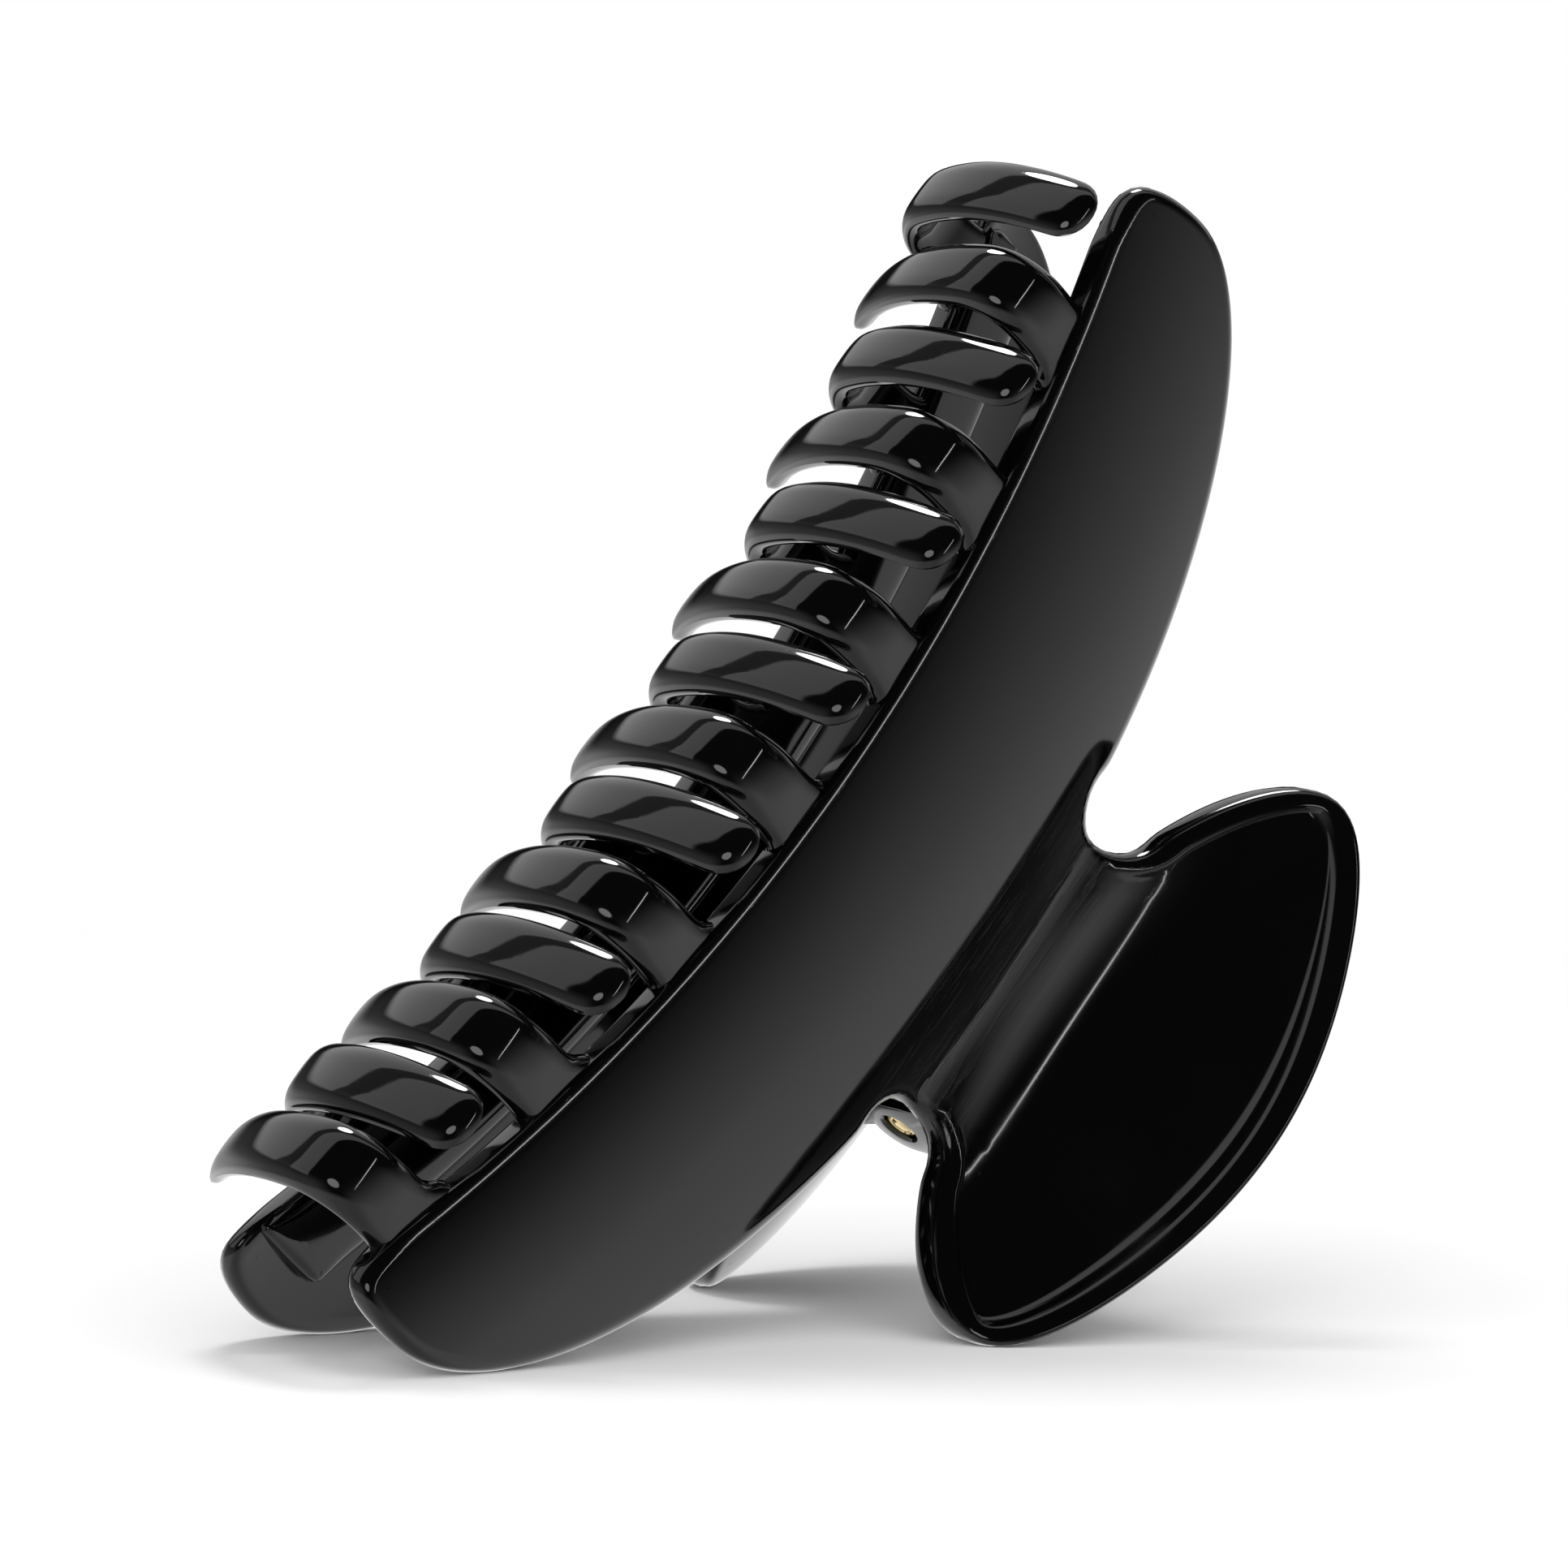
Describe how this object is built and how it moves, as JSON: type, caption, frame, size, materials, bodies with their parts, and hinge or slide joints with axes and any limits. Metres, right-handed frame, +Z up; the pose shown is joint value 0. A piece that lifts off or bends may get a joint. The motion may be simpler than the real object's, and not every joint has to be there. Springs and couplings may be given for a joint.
{
  "type": "hair claw clip",
  "caption": "Large glossy hair claw clip: two crescent wings with thumb paddles and interlocking curved fingers, sprung shut about one pin.",
  "frame": {"origin": "on the surface that the clip stands on, straight below the middle of the line through the two necks", "axes": "+Z up; the hinge pin lies in the XZ plane, parallel to the clip, and climbs towards +X; the front jaw is on the -Y side"},
  "size_m": [0.1061, 0.0644, 0.1094],
  "materials": {
    "wing_plastic": "polished black",
    "comb_plastic": "polished black",
    "pin_brass": "polished",
    "spring_steel": "drawn wire"
  },
  "bodies": {
    "front_jaw": {"front_wing": "wing_plastic", "front_comb": "comb_plastic", "hinge_pin": "pin_brass", "pin_cap": "pin_brass", "torsion_spring": "spring_steel"},
    "back_jaw": {"back_wing": "wing_plastic", "back_comb": "comb_plastic"}
  },
  "joints": [
    {"name": "jaw_opening", "type": "hinge", "parent": "front_jaw", "child": "back_jaw", "pos_m": [0.00705, 0, 0.02812], "axis": [-0.6527, 0, -0.7576], "range_deg": [0, 80], "stiffness_Nm_per_rad": 0.35, "springref_deg": -28.65, "deforming": ["torsion_spring"]}
  ]
}
